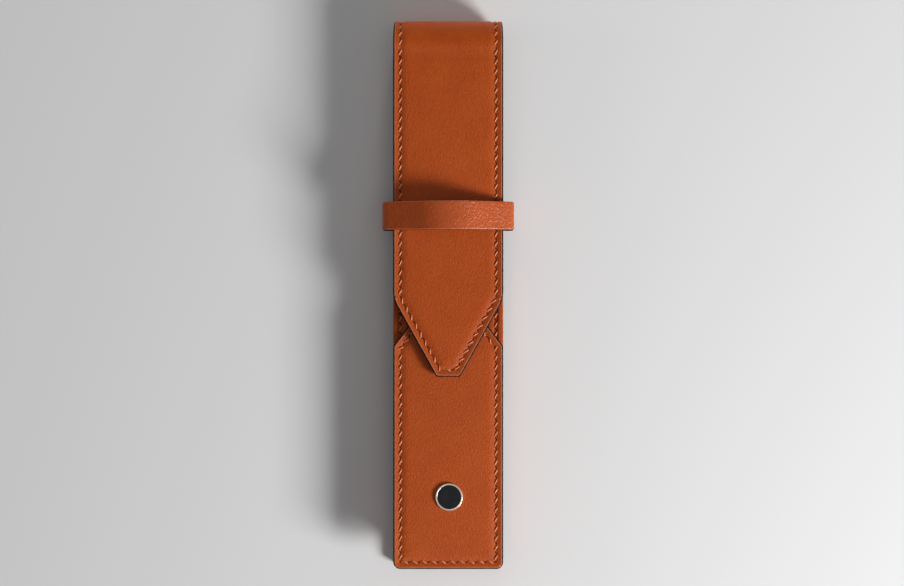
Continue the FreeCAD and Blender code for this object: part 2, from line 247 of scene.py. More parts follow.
@dataclass(frozen=True)
class LeatherFinish:
    """Fine-grained leather: pebbles, pores, soft mottling and uneven gloss."""

    name: str
    colour: Colour
    shade: Colour
    pebble: float = 0.75 * MM
    pebble_depth: float = 0.08 * MM
    pebble_range: Range = (0.1, 0.75)
    pebble_blend: float = 0.6
    wobble_scale: float = 0.8
    wobble_detail: float = 2.0
    streak: Cloud = Cloud(0.36 * MM, 3.0, 0.6)
    streak_stretch: float = 0.32
    streak_depth: float = 0.13 * MM
    crease: Cloud = Cloud(3.2 * MM, 6.0, 0.62)
    crease_depth: float = 0.07 * MM
    mottle: Cloud = Cloud(9.0 * MM, 5.0, 0.6)
    pore_shade: float = 0.80
    gloss: Range = (0.34, 0.48)
    specular: float = 0.18

    def material(self) -> Material:
        """Builds the node material.

        Returns:
            The material.
        """
        shader = Shader(self.name, self.colour, self.gloss[0], Specular_IOR_Level=self.specular)
        drawn = shader.node(
            "ShaderNodeVectorMath",
            {0: shader.coordinates, 1: (1.0, self.streak_stretch, 1.0)},
            operation="MULTIPLY",
        ).outputs["Vector"]
        streaks = shader.noise(self.streak, drawn)
        creases = shader.noise(self.crease)
        patches = shader.spread(shader.noise(self.mottle))
        tint = shader.between(patches, self.shade, self.colour)
        pores = shader.spread(streaks, self.pore_shade, 2.0 - self.pore_shade)
        shader.wire("Base Color", shader.times(tint, pores))
        relief = shader.bump(creases, self.crease_depth)
        relief = shader.bump(streaks, self.streak_depth, relief)
        shader.wire("Normal", shader.bump(self._pebbles(shader), self.pebble_depth, relief))
        shader.wire("Roughness", shader.spread(creases, *self.gloss))
        return shader.material

    def _pebbles(self, shader: Shader) -> Socket:
        """Adds the grain's pebbles, pushed out of their even cells by a noise.

        Args:
            shader: the material's shader.

        Returns:
            The pebbles' heights.
        """
        wobble = shader.node(
            "ShaderNodeTexNoise",
            {
                "Vector": shader.coordinates,
                "Scale": self.wobble_scale / self.pebble,
                "Detail": self.wobble_detail,
            },
        ).outputs["Color"]
        moved = shader.node(
            "ShaderNodeVectorMath",
            {0: wobble, 1: (self.pebble, self.pebble, self.pebble), 2: shader.coordinates},
            operation="MULTIPLY_ADD",
        ).outputs["Vector"]
        cells = shader.node(
            "ShaderNodeTexVoronoi",
            {"Vector": moved, "Scale": 1 / self.pebble, "Smoothness": self.pebble_blend},
            feature="SMOOTH_F1",
        ).outputs["Distance"]
        near, far = self.pebble_range
        inputs = {"Value": cells, "From Min": near, "From Max": far, "To Min": 1.0, "To Max": 0.0}
        return shader.node("ShaderNodeMapRange", inputs).outputs["Result"]


@dataclass(frozen=True)
class EdgePaintFinish:
    """Dark edge paint, brushed on in coats that leave it faintly uneven."""

    name: str = "edge_paint"
    colour: Colour = (0.012, 0.009, 0.008)
    lift: Colour = (0.030, 0.020, 0.015)
    ripple: Cloud = Cloud(1.6 * MM, 4.0)
    ripple_depth: float = 0.04 * MM
    roughness: float = 0.55
    gloss: Range = (0.50, 0.62)
    specular: float = 0.02

    def material(self) -> Material:
        """Builds the node material.

        Returns:
            The material.
        """
        shader = Shader(self.name, self.colour, self.roughness, Specular_IOR_Level=self.specular)
        waves = shader.noise(self.ripple)
        shader.wire("Base Color", shader.between(shader.spread(waves), self.colour, self.lift))
        shader.wire("Normal", shader.bump(waves, self.ripple_depth))
        shader.wire("Roughness", shader.spread(waves, *self.gloss))
        return shader.material


@dataclass(frozen=True)
class ThreadFinish:
    """Waxed twisted thread, a tone lighter than the leather."""

    name: str = "waxed_thread"
    colour: Colour = (0.74, 0.28, 0.15)
    shade: Colour = (0.52, 0.16, 0.065)
    twist: float = 0.32 * MM
    twist_depth: float = 0.03 * MM
    twist_bands: float = 0.3
    twist_bend: float = 0.6
    wax: Cloud = Cloud(0.6 * MM)
    roughness: float = 0.36
    gloss: Range = (0.28, 0.45)
    specular: float = 0.6

    def material(self) -> Material:
        """Builds the node material.

        Returns:
            The material.
        """
        shader = Shader(self.name, self.colour, self.roughness, Specular_IOR_Level=self.specular)
        plies = shader.node(
            "ShaderNodeTexWave",
            {
                "Vector": shader.coordinates,
                "Scale": self.twist_bands / self.twist,
                "Distortion": self.twist_bend,
            },
            bands_direction="DIAGONAL",
        ).outputs["Fac"]
        # painted shade: the colour darkens in the grooves of the twist, where the bump is low
        shader.wire("Base Color", shader.between(plies, self.shade, self.colour))
        shader.wire("Normal", shader.bump(plies, self.twist_depth))
        shader.wire("Roughness", shader.spread(shader.noise(self.wax), *self.gloss))
        return shader.material


@dataclass(frozen=True)
class StitchShadeFinish:
    """Painted shade: the dark colour of the flat patch laid in the gap between stitches, where shade falls.
    """

    name: str = "painted_stitch_shade"
    colour: Colour = (0.055, 0.012, 0.004)
    lift: Colour = (0.10, 0.024, 0.008)
    fibres: Cloud = Cloud(0.5 * MM)
    roughness: float = 0.8
    specular: float = 0.1

    def material(self) -> Material:
        """Builds the node material.

        Returns:
            The material.
        """
        shader = Shader(self.name, self.colour, self.roughness, Specular_IOR_Level=self.specular)
        patches = shader.spread(shader.noise(self.fibres))
        shader.wire("Base Color", shader.between(patches, self.colour, self.lift))
        return shader.material


@dataclass(frozen=True)
class MetalFinish:
    """Polished pale metal with a hint of fine wear."""

    name: str = "polished_rim"
    colour: Colour = (0.84, 0.76, 0.67)
    wear: Cloud = Cloud(0.7 * MM, 6.0, 0.7)
    wear_depth: float = 0.004 * MM
    roughness: float = 0.40
    gloss: Range = (0.34, 0.48)

    def material(self) -> Material:
        """Builds the node material.

        Returns:
            The material.
        """
        shader = Shader(self.name, self.colour, self.roughness, Metallic=1.0)
        scuffs = shader.noise(self.wear)
        shader.wire("Roughness", shader.spread(scuffs, *self.gloss))
        shader.wire("Normal", shader.bump(scuffs, self.wear_depth))
        return shader.material


@dataclass(frozen=True)
class InlayFinish:
    """Glossy black resin."""

    name: str = "black_resin"
    colour: Colour = (0.008, 0.008, 0.009)
    lift: Colour = (0.014, 0.014, 0.016)
    haze: Cloud = Cloud(2.0 * MM)
    roughness: float = 0.22
    gloss: Range = (0.18, 0.28)
    specular: float = 0.16

    def material(self) -> Material:
        """Builds the node material.

        Returns:
            The material.
        """
        shader = Shader(self.name, self.colour, self.roughness, Specular_IOR_Level=self.specular)
        clouds = shader.noise(self.haze)
        shader.wire("Base Color", shader.between(shader.spread(clouds), self.colour, self.lift))
        shader.wire("Roughness", shader.spread(clouds, *self.gloss))
        return shader.material


@dataclass(frozen=True)
class FloorFinish:
    """Plain pale floor with the faintest unevenness."""

    name: str = "pale_floor"
    colour: Colour = (0.72, 0.72, 0.72)
    shade: Colour = (0.70, 0.70, 0.70)
    patches: Cloud = Cloud(0.3)
    roughness: float = 0.9
    specular: float = 0.1

    def material(self) -> Material:
        """Builds the node material.

        Returns:
            The material.
        """
        shader = Shader(self.name, self.colour, self.roughness, Specular_IOR_Level=self.specular)
        shader.wire("Base Color", shader.between(shader.noise(self.patches), self.shade, self.colour))
        return shader.material


CALFSKIN = LeatherFinish(
    "tan_calfskin",
    (0.436, 0.0725, 0.0085),
    (0.399, 0.0620, 0.0070),
    pebble=0.52 * MM,
    pebble_depth=0.035 * MM,
    streak=Cloud(0.28 * MM, 3.0, 0.6),
    streak_depth=0.17 * MM,
    crease_depth=0.03 * MM,
    pore_shade=0.89,
)
POLISHED_CALFSKIN = LeatherFinish(
    "polished_calfskin",
    (0.430, 0.068, 0.0040),
    (0.393, 0.058, 0.0030),
    pebble=0.62 * MM,
    pebble_depth=0.06 * MM,
    streak=Cloud(0.30 * MM, 3.0, 0.6),
    crease_depth=0.05 * MM,
    gloss=(0.30, 0.44),
    specular=0.48,
)
LINING_LEATHER = LeatherFinish(
    "tan_lining",
    (0.33, 0.068, 0.018),
    (0.29, 0.056, 0.014),
    pebble=0.5 * MM,
    pebble_depth=0.02 * MM,
    gloss=(0.52, 0.66),
)
# painted highlight: a paler, pinker colour for the band along the rounded edges, where light catches them
EDGE_HIGHLIGHT_FINISH = EdgePaintFinish(
    "painted_edge_highlight", (0.42, 0.135, 0.075), (0.50, 0.175, 0.10), specular=0.12
)


@dataclass
class Palette:
    """All the finishes, made once as materials."""

    leather: Material = field(default_factory=CALFSKIN.material)
    polished: Material = field(default_factory=POLISHED_CALFSKIN.material)
    lining: Material = field(default_factory=LINING_LEATHER.material)
    paint: Material = field(default_factory=EdgePaintFinish().material)
    # the painted highlight along the edges
    edge_highlight: Material = field(default_factory=EDGE_HIGHLIGHT_FINISH.material)
    thread: Material = field(default_factory=ThreadFinish().material)
    # painted shade for the gaps between stitches
    stitch_shade: Material = field(default_factory=StitchShadeFinish().material)
    metal: Material = field(default_factory=MetalFinish().material)
    inlay: Material = field(default_factory=InlayFinish().material)
    floor: Material = field(default_factory=FloorFinish().material)

    def sheet(self, polished: bool = False) -> list[Material]:
        """Materials of an outer sheet, in the order of its face numbers."""
        skin = self.polished if polished else self.leather
        return [skin, self.paint, self.lining, self.edge_highlight]

    def ply(self) -> list[Material]:
        """Materials of a lining ply, in the order of its face numbers."""
        return [self.lining, self.paint, self.lining]

    def sewing(self) -> list[Material]:
        """Materials of a seam: its thread and the painted shade between its stitches."""
        return [self.thread, self.stitch_shade]


@dataclass(frozen=True)
class Corner:
    """A corner of an outline: its place, its rounding and whether a cut leather edge follows it."""

    x: float
    y: float
    radius: float = 0.0
    edge_follows: bool = True


@dataclass(frozen=True)
class Side:
    """A straight side or a tangent of a rounded corner, as the half-plane that holds the panel."""

    point: Vector
    inward: Vector
    is_edge: bool
    is_main: bool


class Outline:
    """A convex outline, from which sheets are cut and depths from the edge are measured."""

    def __init__(self, corners: Sequence[Corner], tangents: int = 5) -> None:
        """Works out the sides.

        Args:
            corners: the corners in counter-clockwise order.
            tangents: how many tangents stand for each rounded corner.
        """
        self.corners = list(corners)
        places = [Vector((corner.x, corner.y)) for corner in corners]
        count = len(places)
        self.ways = [(places[(n + 1) % count] - places[n]).normalized() for n in range(count)]
        inwards = [Vector((-way.y, way.x)) for way in self.ways]
        self.sides = [Side(places[n], inwards[n], corners[n].edge_follows, True) for n in range(count)]
        for n, corner in enumerate(corners):
            before, after = inwards[n - 1], inwards[n]
            if corner.radius <= 0:
                continue
            centre = places[n] + (before + after) * (corner.radius / (1 + before.dot(after)))
            for step in range(1, tangents + 1):
                turned = before.lerp(after, step / (tangents + 1)).normalized()
                self.sides.append(Side(centre - turned * corner.radius, turned, True, False))

    def box(self) -> tuple[Vector, Vector]:
        """Gives the lowest and the highest corner of the outline's box."""
        xs, ys = [corner.x for corner in self.corners], [corner.y for corner in self.corners]
        return Vector((min(xs), min(ys))), Vector((max(xs), max(ys)))

    def depth(self, places: np.ndarray) -> np.ndarray:
        """How far places lie inside the nearest leather edge.

        Args:
            places: an array of x and y.

        Returns:
            The depths.
        """
        edges = [side for side in self.sides if side.is_edge]
        points = np.array([side.point for side in edges])
        inwards = np.array([side.inward for side in edges])
        return ((places[:, None, :] - points[None]) * inwards[None]).sum(axis=2).min(axis=1)

    def seam(self, inset: float) -> list[Vector]:
        """Line at an inset from the leather edges, from one open end to the other or round to its start.

        Args:
            inset: distance of the line from the edges.

        Returns:
            The line's corners.
        """
        count = len(self.corners)
        opens = [n for n in range(count) if not self.corners[n].edge_follows]
        first = (opens[0] + 1) % count if opens else 0
        turns = count if opens else count + 1
        line = []
        for step in range(turns):
            n = (first + step) % count
            corner, way, last = self.corners[n], self.ways[n], self.ways[n - 1]
            place = Vector((corner.x, corner.y))
            before = 0.0 if not self.corners[n - 1].edge_follows else inset
            after = 0.0 if not corner.edge_follows else inset
            inward_before, inward_after = Vector((-last.y, last.x)), Vector((-way.y, way.x))
            shared = inward_before.dot(inward_after)
            scale = 1 / (1 - shared**2)
            line.append(
                place
                + inward_before * ((before - after * shared) * scale)
                + inward_after * ((after - before * shared) * scale)
            )
        return line


@dataclass(frozen=True)
class SeamSpot:
    """Place and heading of one stitch."""

    place: Vector
    heading: float


def walk(line: Sequence[Vector], pitch: float, start: float) -> list[SeamSpot]:
    """Spaces stitches evenly along a line of straight runs.

    Args:
        line: the corners of the line.
        pitch: distance from stitch to stitch.
        start: distance of the first stitch from the line's start.

    Returns:
        The stitches' spots.
    """
    spots, left = [], start
    for here, there in zip(line, line[1:]):
        run = there - here
        while left <= run.length:
            heading = math.atan2(run.y, run.x)
            spots.append(SeamSpot(here + run * (left / run.length), heading))
            left += pitch
        left -= run.length
    return spots


@dataclass(frozen=True)
class SheetCut:
    """How a leather sheet is cut and finished: its edge, its seam's valley and the fineness of its mesh."""

    cell: float = 0.62 * MM
    edge_round: float = 0.60 * MM
    painted: float = 0.40 * MM
    paint_rows: tuple[float, ...] = (0.1, 0.3, 0.6, 1.0)
    # width of the painted highlight band beside the edge paint
    edge_highlight_width: float = 0.24 * MM
    under_round: float = 0.16 * MM
    seam_inset: float = SEAM_INSET
    valley_depth: float = 0.42 * MM
    valley_reach: float = 1.95 * MM
    valley_power: float = 1.5
    valley_rows: tuple[float, ...] = (-0.8, -0.45, -0.22, 0.0, 0.22, 0.45, 0.8)
    pucker_depth: float = 0.14 * MM
    pucker_reach: float = 0.75 * MM
    crown: float = 0.0
    crown_reach: float = 12.0 * MM
    has_seam: bool = True

    def rows(self) -> list[float]:
        """Gives the depths from the edge at which the mesh gets a line of its own.

        Returns:
            The depths of the edge's lines and, on a sewn sheet, of the valley's.
        """
        paint = [self.painted * share for share in self.paint_rows]
        edge = paint + [self.painted + self.edge_highlight_width, self.edge_round]
        if not self.has_seam:
            return edge
        return edge + [self.seam_inset + offset * MM for offset in self.valley_rows]

    def crown_share(self, depth: np.ndarray) -> np.ndarray:
        """Share of the crown's height that is reached at depths from the edge."""
        rise = np.clip((depth - self.seam_inset) / self.crown_reach, 0, 1)
        return rise * (2 - rise)

    def heights(self, depth: np.ndarray) -> np.ndarray:
        """Works out the rounded edge, the seam's valley and the soft crown.

        Args:
            depth: depths from the edge.

        Returns:
            Heights of the skin over its plain level.
        """
        near = np.clip(self.edge_round - depth, 0, self.edge_round)
        height = np.sqrt(np.maximum(self.edge_round**2 - near**2, 0)) - self.edge_round
        if self.has_seam:
            away = np.clip(np.abs(depth - self.seam_inset) / self.valley_reach, 0, 1)
            height -= self.valley_depth * (1 - away) ** self.valley_power
        return height + self.crown * self.crown_share(depth)


def carry(mesh: Mesh, mapping: Mapping) -> Mesh:
    """Carries every vertex of a mesh to where a mapping puts it.

    Args:
        mesh: the mesh.
        mapping: gives a vertex's new place for its old one.

    Returns:
        The same mesh.
    """
    for vertex in mesh.verts:
        vertex.co = mapping(vertex.co)
    return mesh


class LeatherSheet:
    """One ply of leather: a fine sheet cut to an outline, with a rounded painted edge, on a closed back."""

    cut_tolerance: float = 0.0001 * MM
    row_merge: float = 0.012 * MM

    def __init__(self, outline: Outline, cut: SheetCut, top: float, bottom: float) -> None:
        """Cuts the sheet flat.

        Args:
            outline: the ply's outline.
            cut: its edge, seam and mesh.
            top: level of its skin.
            bottom: level of its back.
        """
        self.outline, self.cut, self.top, self.bottom = outline, cut, top, bottom
        self.mesh = bmesh.new()
        self._spread()
        self._trim()

    def _spread(self) -> None:
        """Lays an even grid over the outline's box."""
        low, high = self.outline.box()
        size, cell = high - low, self.cut.cell
        columns, rows = max(2, round(size.x / cell)), max(2, round(size.y / cell))
        bmesh.ops.create_grid(self.mesh, x_segments=columns, y_segments=rows, size=0.5)
        bmesh.ops.scale(self.mesh, vec=(size.x, size.y, 1.0), verts=self.mesh.verts)
        middle = (low + high) / 2
        bmesh.ops.translate(self.mesh, vec=(middle.x, middle.y, 0.0), verts=self.mesh.verts)

    def _slice(self, side: Side, depth: float, clear: bool) -> None:
        """Cuts the sheet along a line beside one of the outline's sides.

        Args:
            side: the side.
            depth: how far inside it the cut lies.
            clear: whether what lies outside the cut is dropped.
        """
        point = side.point + side.inward * depth
        everything = self.mesh.verts[:] + self.mesh.edges[:] + self.mesh.faces[:]
        bmesh.ops.bisect_plane(
            self.mesh,
            geom=everything,
            dist=self.cut_tolerance,
            plane_co=(point.x, point.y, 0.0),
            plane_no=(-side.inward.x, -side.inward.y, 0.0),
            clear_outer=clear,
        )

    def _trim(self) -> None:
        """Gives the mesh its lines beside the edges and cuts it to the outline."""
        for side in self.outline.sides:
            self._slice(side, 0.0, clear=True)
        for side in self.outline.sides:
            if side.is_main and side.is_edge:
                for row in self.cut.rows():
                    self._slice(side, row, clear=False)
        bmesh.ops.remove_doubles(self.mesh, verts=self.mesh.verts, dist=self.row_merge)

    def raise_skin(self, spots: Iterable[SeamSpot] = (), swell: Heights | None = None) -> None:
        """Gives the flat sheet its relief.

        Args:
            spots: stitches that pull the leather in.
            swell: further height by place and depth.
        """
        vertices = list(self.mesh.verts)
        places = np.array([(vertex.co.x, vertex.co.y) for vertex in vertices])
        depth = np.maximum(self.outline.depth(places), 0.0)
        height = self.cut.heights(depth)
        for spot in spots:
            away = places - np.array(spot.place)
            near = np.clip(1 - np.hypot(away[:, 0], away[:, 1]) / self.cut.pucker_reach, 0, 1)
            height -= self.cut.pucker_depth * near**2
        if swell is not None:
            height += swell(places, depth)
        for vertex, level in zip(vertices, height):
            vertex.co.z = self.top + level
        faces = list(self.mesh.faces)
        middles = [piece.calc_center_median() for piece in faces]
        inside = self.outline.depth(np.array([(middle.x, middle.y) for middle in middles]))
        for piece, deep in zip(faces, inside):
            # faces just inside the edge paint get the painted highlight colour
            zone = Face.EDGE_HIGHLIGHT if deep < self.cut.painted + self.cut.edge_highlight_width else Face.SKIN
            piece.material_index = (Face.PAINT if deep < self.cut.painted else zone).value

    def close(self, backing: Face = Face.BACKING, bends: bool = False) -> None:
        """Drops the painted wall to the back and closes it.

        Args:
            backing: kind of the back's faces.
            bends: whether the back is as fine as the skin, for a sheet that is bent later.
        """
        rim = [edge for edge in self.mesh.edges if edge.is_boundary]
        back = self._copy_skin(backing) if bends else []
        wall = bmesh.ops.extrude_edge_only(self.mesh, edges=rim)["geom"]
        for part in wall:
            if isinstance(part, bmesh.types.BMVert):
                part.co.z = self.bottom + self.cut.under_round
            elif isinstance(part, bmesh.types.BMFace):
                part.material_index = Face.PAINT.value
        if back:
            bmesh.ops.remove_doubles(self.mesh, verts=self.mesh.verts, dist=WELD)
            bmesh.ops.recalc_face_normals(self.mesh, faces=self.mesh.faces)
        else:
            self._fill_back(backing)

    def _copy_skin(self, backing: Face) -> list[bmesh.types.BMVert]:
        """Copies the skin down to the back, with a bevelled edge.

        Args:
            backing: kind of the back's faces.

        Returns:
            The back's vertices.
        """
        skin = self.mesh.verts[:] + self.mesh.edges[:] + self.mesh.faces[:]
        made = bmesh.ops.duplicate(self.mesh, geom=skin)["geom"]
        back = [part for part in made if isinstance(part, bmesh.types.BMVert)]
        places = np.array([(vertex.co.x, vertex.co.y) for vertex in back])
        rise = np.clip(self.cut.under_round - self.outline.depth(places), 0, self.cut.under_round)
        for vertex, height in zip(back, rise):
            vertex.co.z = self.bottom + height
            if vertex.is_boundary:
                vertex.co.z = self.bottom + self.cut.under_round
        for part in made:
            if isinstance(part, bmesh.types.BMFace) and part.material_index != Face.PAINT.value:
                part.material_index = backing.value
        return back

    def _fill_back(self, backing: Face) -> None:
        """Closes the wall with one flat face that has a bevelled edge.

        Args:
            backing: kind of the back's faces.
        """
        under = self.cut.under_round
        rim = [edge for edge in self.mesh.edges if edge.is_boundary]
        back = bmesh.ops.holes_fill(self.mesh, edges=rim, sides=0)["faces"]
        bmesh.ops.recalc_face_normals(self.mesh, faces=self.mesh.faces)
        ring = bmesh.ops.inset_region(
            self.mesh, faces=back, thickness=under, depth=under, use_even_offset=True
        )
        for piece in ring["faces"]:
            piece.material_index = Face.PAINT.value
        for piece in back:
            piece.material_index = backing.value

    def move(self, mapping: Mapping) -> None:
        """Carries the sheet to where a mapping puts it, and turns its faces outwards."""
        carry(self.mesh, mapping)
        bmesh.ops.recalc_face_normals(self.mesh, faces=self.mesh.faces)


class Piece:
    """Makes objects of meshes, dresses them and hangs them on the frame."""

    sharp_angle: float = math.radians(50)

    @classmethod
    def make(
        cls, name: str, meshes: Sequence[Mesh], materials: Sequence[Material]
    ) -> bpy.types.Object:
        """Joins meshes into one object with smooth faces and sharp cut edges.

        Args:
            name: the piece's name.
            meshes: its meshes, which are freed.
            materials: its materials in order.

        Returns:
            The object.
        """
        data = bpy.data.meshes.new(name)
        whole = bmesh.new()
        for mesh in meshes:
            mesh.to_mesh(data)
            mesh.free()
            whole.from_mesh(data)
        for piece in whole.faces:
            piece.smooth = True
        whole.to_mesh(data)
        whole.free()
        data.set_sharp_from_angle(angle=cls.sharp_angle)
        for material in materials:
            data.materials.append(material)
        made = bpy.data.objects.new(name, data)
        bpy.context.scene.collection.objects.link(made)
        return made

    @classmethod
    def mount(
        cls,
        name: str,
        meshes: Sequence[Mesh],
        materials: Sequence[Material],
        body: Body,
        slot: Slot,
        node: str,
    ) -> None:
        """Makes a piece that rides on one body in place of a CAD node.

        Args:
            name: the piece's name.
            meshes: its meshes, which are freed.
            materials: its materials in order.
            body: the body that it rides on.
            slot: its slot of the record's materials.
            node: the CAD node that it replaces.
        """
        made = cls.make(name, meshes, materials)
        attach(made, body.value)
        cls.settle(made, body.value, slot, node)

    @classmethod
    def settle(cls, made: bpy.types.Object, where: str, slot: Slot, *nodes: str) -> None:
        """Hides the CAD nodes that an object replaces, and reports it with their names.

        Args:
            made: the object.
            where: what carries it, in words.
            slot: its slot of the record's materials; not used.
            nodes: the CAD nodes that it replaces.
        """
        if nodes:
            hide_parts(*nodes)
        LOG.info("%s rides on %s for %s", made.name, where, ", ".join(nodes) or "no node")


@dataclass
class StitchShape:
    """One slanted stitch of waxed thread and a flat dark patch of painted shade in the gap after it."""

    length: float = 1.85 * MM
    width: float = 0.46 * MM
    height: float = 0.46 * MM
    slant: float = math.radians(-31)
    sunk: float = 0.02 * MM
    # sizes of the flat dark patch of painted shade between stitches
    shade_length: float = 1.25 * MM
    shade_width: float = 0.50 * MM
    shade_height: float = 0.10 * MM
    shade_slant: float = math.radians(38)
    shade_rise: float = 0.04 * MM
    around: int = 8
    along: int = 6

    def _bead(self, mesh: Mesh, size: Vector, turn: float, place: Vector, number: int) -> None:
        """Adds a stretched ball to a mesh.

        Args:
            mesh: the mesh.
            size: the ball's length, width and height.
            turn: its heading.
            place: its centre.
            number: its material number.
        """
        matrix = Matrix.Translation(place) @ Matrix.Rotation(turn, 4, "Z")
        matrix = matrix @ Matrix.Diagonal((*(size / 2), 1.0)) @ Matrix.Rotation(math.pi / 2, 4, "Y")
        made = bmesh.ops.create_uvsphere(
            mesh, u_segments=self.around, v_segments=self.along, radius=1.0, matrix=matrix
        )
        for vertex in made["verts"]:
            for piece in vertex.link_faces:
                piece.material_index = number

    def sew(
        self, spots: Sequence[SeamSpot], pitch: float, level: float, lean: float = 1.0
    ) -> Mesh:
        """Sews a run of stitches.

        Args:
            spots: where the stitches lie.
            pitch: the distance between them.
            level: height of the seam's floor.
            lean: 1 for stitches that lean one way, -1 for the other.

        Returns:
            A mesh of thread, with number 0, and patches of painted shade, with number 1.
        """
        mesh = bmesh.new()
        thread = Vector((self.length, self.width, self.height))
        stitch_shade = Vector((self.shade_length, self.shade_width, self.shade_height))
        for spot in spots:
            place = Vector((spot.place.x, spot.place.y, level + self.height / 2 - self.sunk))
            self._bead(mesh, thread, spot.heading + lean * self.slant, place, 0)
            onward = Vector((math.cos(spot.heading), math.sin(spot.heading))) * (pitch / 2)
            # a flat dark patch halfway to the next stitch: painted shade of the stitch gap
            gap = spot.place + onward
            shade_spot = Vector((gap.x, gap.y, level + self.shade_rise))
            self._bead(mesh, stitch_shade, spot.heading + lean * self.shade_slant, shade_spot, 1)
        return mesh


@dataclass
class Seams:
    """What all the seams share."""

    inset: float = SEAM_INSET
    pitch: float = 2.87 * MM
    floor: float = 0.40 * MM
    shape: StitchShape = field(default_factory=StitchShape)

    def spots(self, outline: Outline) -> list[SeamSpot]:
        """Spaces an odd number of stitches evenly along an outline's leather edges.

        Args:
            outline: the outline.

        Returns:
            The stitches' spots.
        """
        line = outline.seam(self.inset)
        length = sum((there - here).length for here, there in zip(line, line[1:]))
        pitch = length / (round(length / self.pitch) | 1)
        return walk(line, pitch, pitch / 2)


@dataclass
class LiningCut:
    """How every lining ply is cut: a small painted edge and no seam."""

    cell: float = 2.0 * MM
    bent_cell: float = 0.8 * MM
    edge: float = 0.2 * MM

    def sheet_cut(self, bends: bool = False) -> SheetCut:
        """Gives the cut, with a finer mesh for a ply that is bent."""
        cell = self.bent_cell if bends else self.cell
        return SheetCut(cell=cell, edge_round=self.edge, painted=self.edge, edge_highlight_width=0.0, has_seam=False)

    def flat_ply(self, outline: Outline, node: str, faces_down: bool) -> Mesh:
        """Makes a flat ply in the space of a CAD node.

        Args:
            outline: the ply's outline.
            node: the CAD node.
            faces_down: whether its skin is on its underside.

        Returns:
            The mesh.
        """
        low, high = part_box(node)
        sheet = LeatherSheet(outline, self.sheet_cut(), high.z, low.z)
        sheet.raise_skin()
        sheet.close(Face.SKIN)
        if faces_down:
            sheet.move(lambda place: Vector((place.x, place.y, low.z + high.z - place.z)))
        return sheet.mesh


def mount_panel(part: str, body: Body, palette: Palette, skin: Mesh, backing: Mesh, sewn: Mesh) -> None:
    """Mounts a panel's outer leather, its lining and its stitching on a body.

    Args:
        part: the panel's word in the names of its nodes and pieces.
        body: the body.
        palette: the materials.
        skin: mesh of the outer leather.
        backing: mesh of the lining.
        sewn: mesh of the stitching.
    """
    Piece.mount(f"{part}_panel", [skin], palette.sheet(), body, Slot.OUTER, f"{part}_outer")
    Piece.mount(f"{part}_panel_lining", [backing], palette.ply(), body, Slot.LINING, f"{part}_lining")
    Piece.mount(f"{part}_stitching", [sewn], palette.sewing(), body, Slot.THREAD, f"{part}_thread")


@dataclass
class FrontPanel:
    """Front panel with its lining and the stitches all round it."""

    shoulder: float = 67.0 * MM
    top_width: float = 13.0 * MM
    corner_radius: float = 2.1 * MM
    shoulder_radius: float = 1.6 * MM
    crown: float = 0.16 * MM

    def outline(self) -> Outline:
        """Sets the panel's corners from its CAD box.

        Returns:
            The outline.
        """
        low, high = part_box("front_outer")
        shoulder = low.y + self.shoulder
        half = self.top_width / 2
        return Outline(
            [
                Corner(low.x, low.y, self.corner_radius),
                Corner(high.x, low.y, self.corner_radius),
                Corner(high.x, shoulder, self.shoulder_radius),
                Corner(half, high.y),
                Corner(-half, high.y),
                Corner(low.x, shoulder, self.shoulder_radius),
            ]
        )

    def build(self, palette: Palette, seams: Seams) -> None:
        """Makes the panel, its lining and its stitches.

        Args:
            palette: the materials.
            seams: what the seams share.
        """
        outline = self.outline()
        spots = seams.spots(outline)
        low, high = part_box("front_outer")
        sheet = LeatherSheet(outline, SheetCut(crown=self.crown), high.z, low.z)
        sheet.raise_skin(spots)
        sheet.close()
        backing = LiningCut().flat_ply(outline, "front_lining", faces_down=True)
        sewn = seams.shape.sew(spots, seams.pitch, high.z - seams.floor)
        mount_panel("front", Body.POUCH, palette, sheet.mesh, backing, sewn)


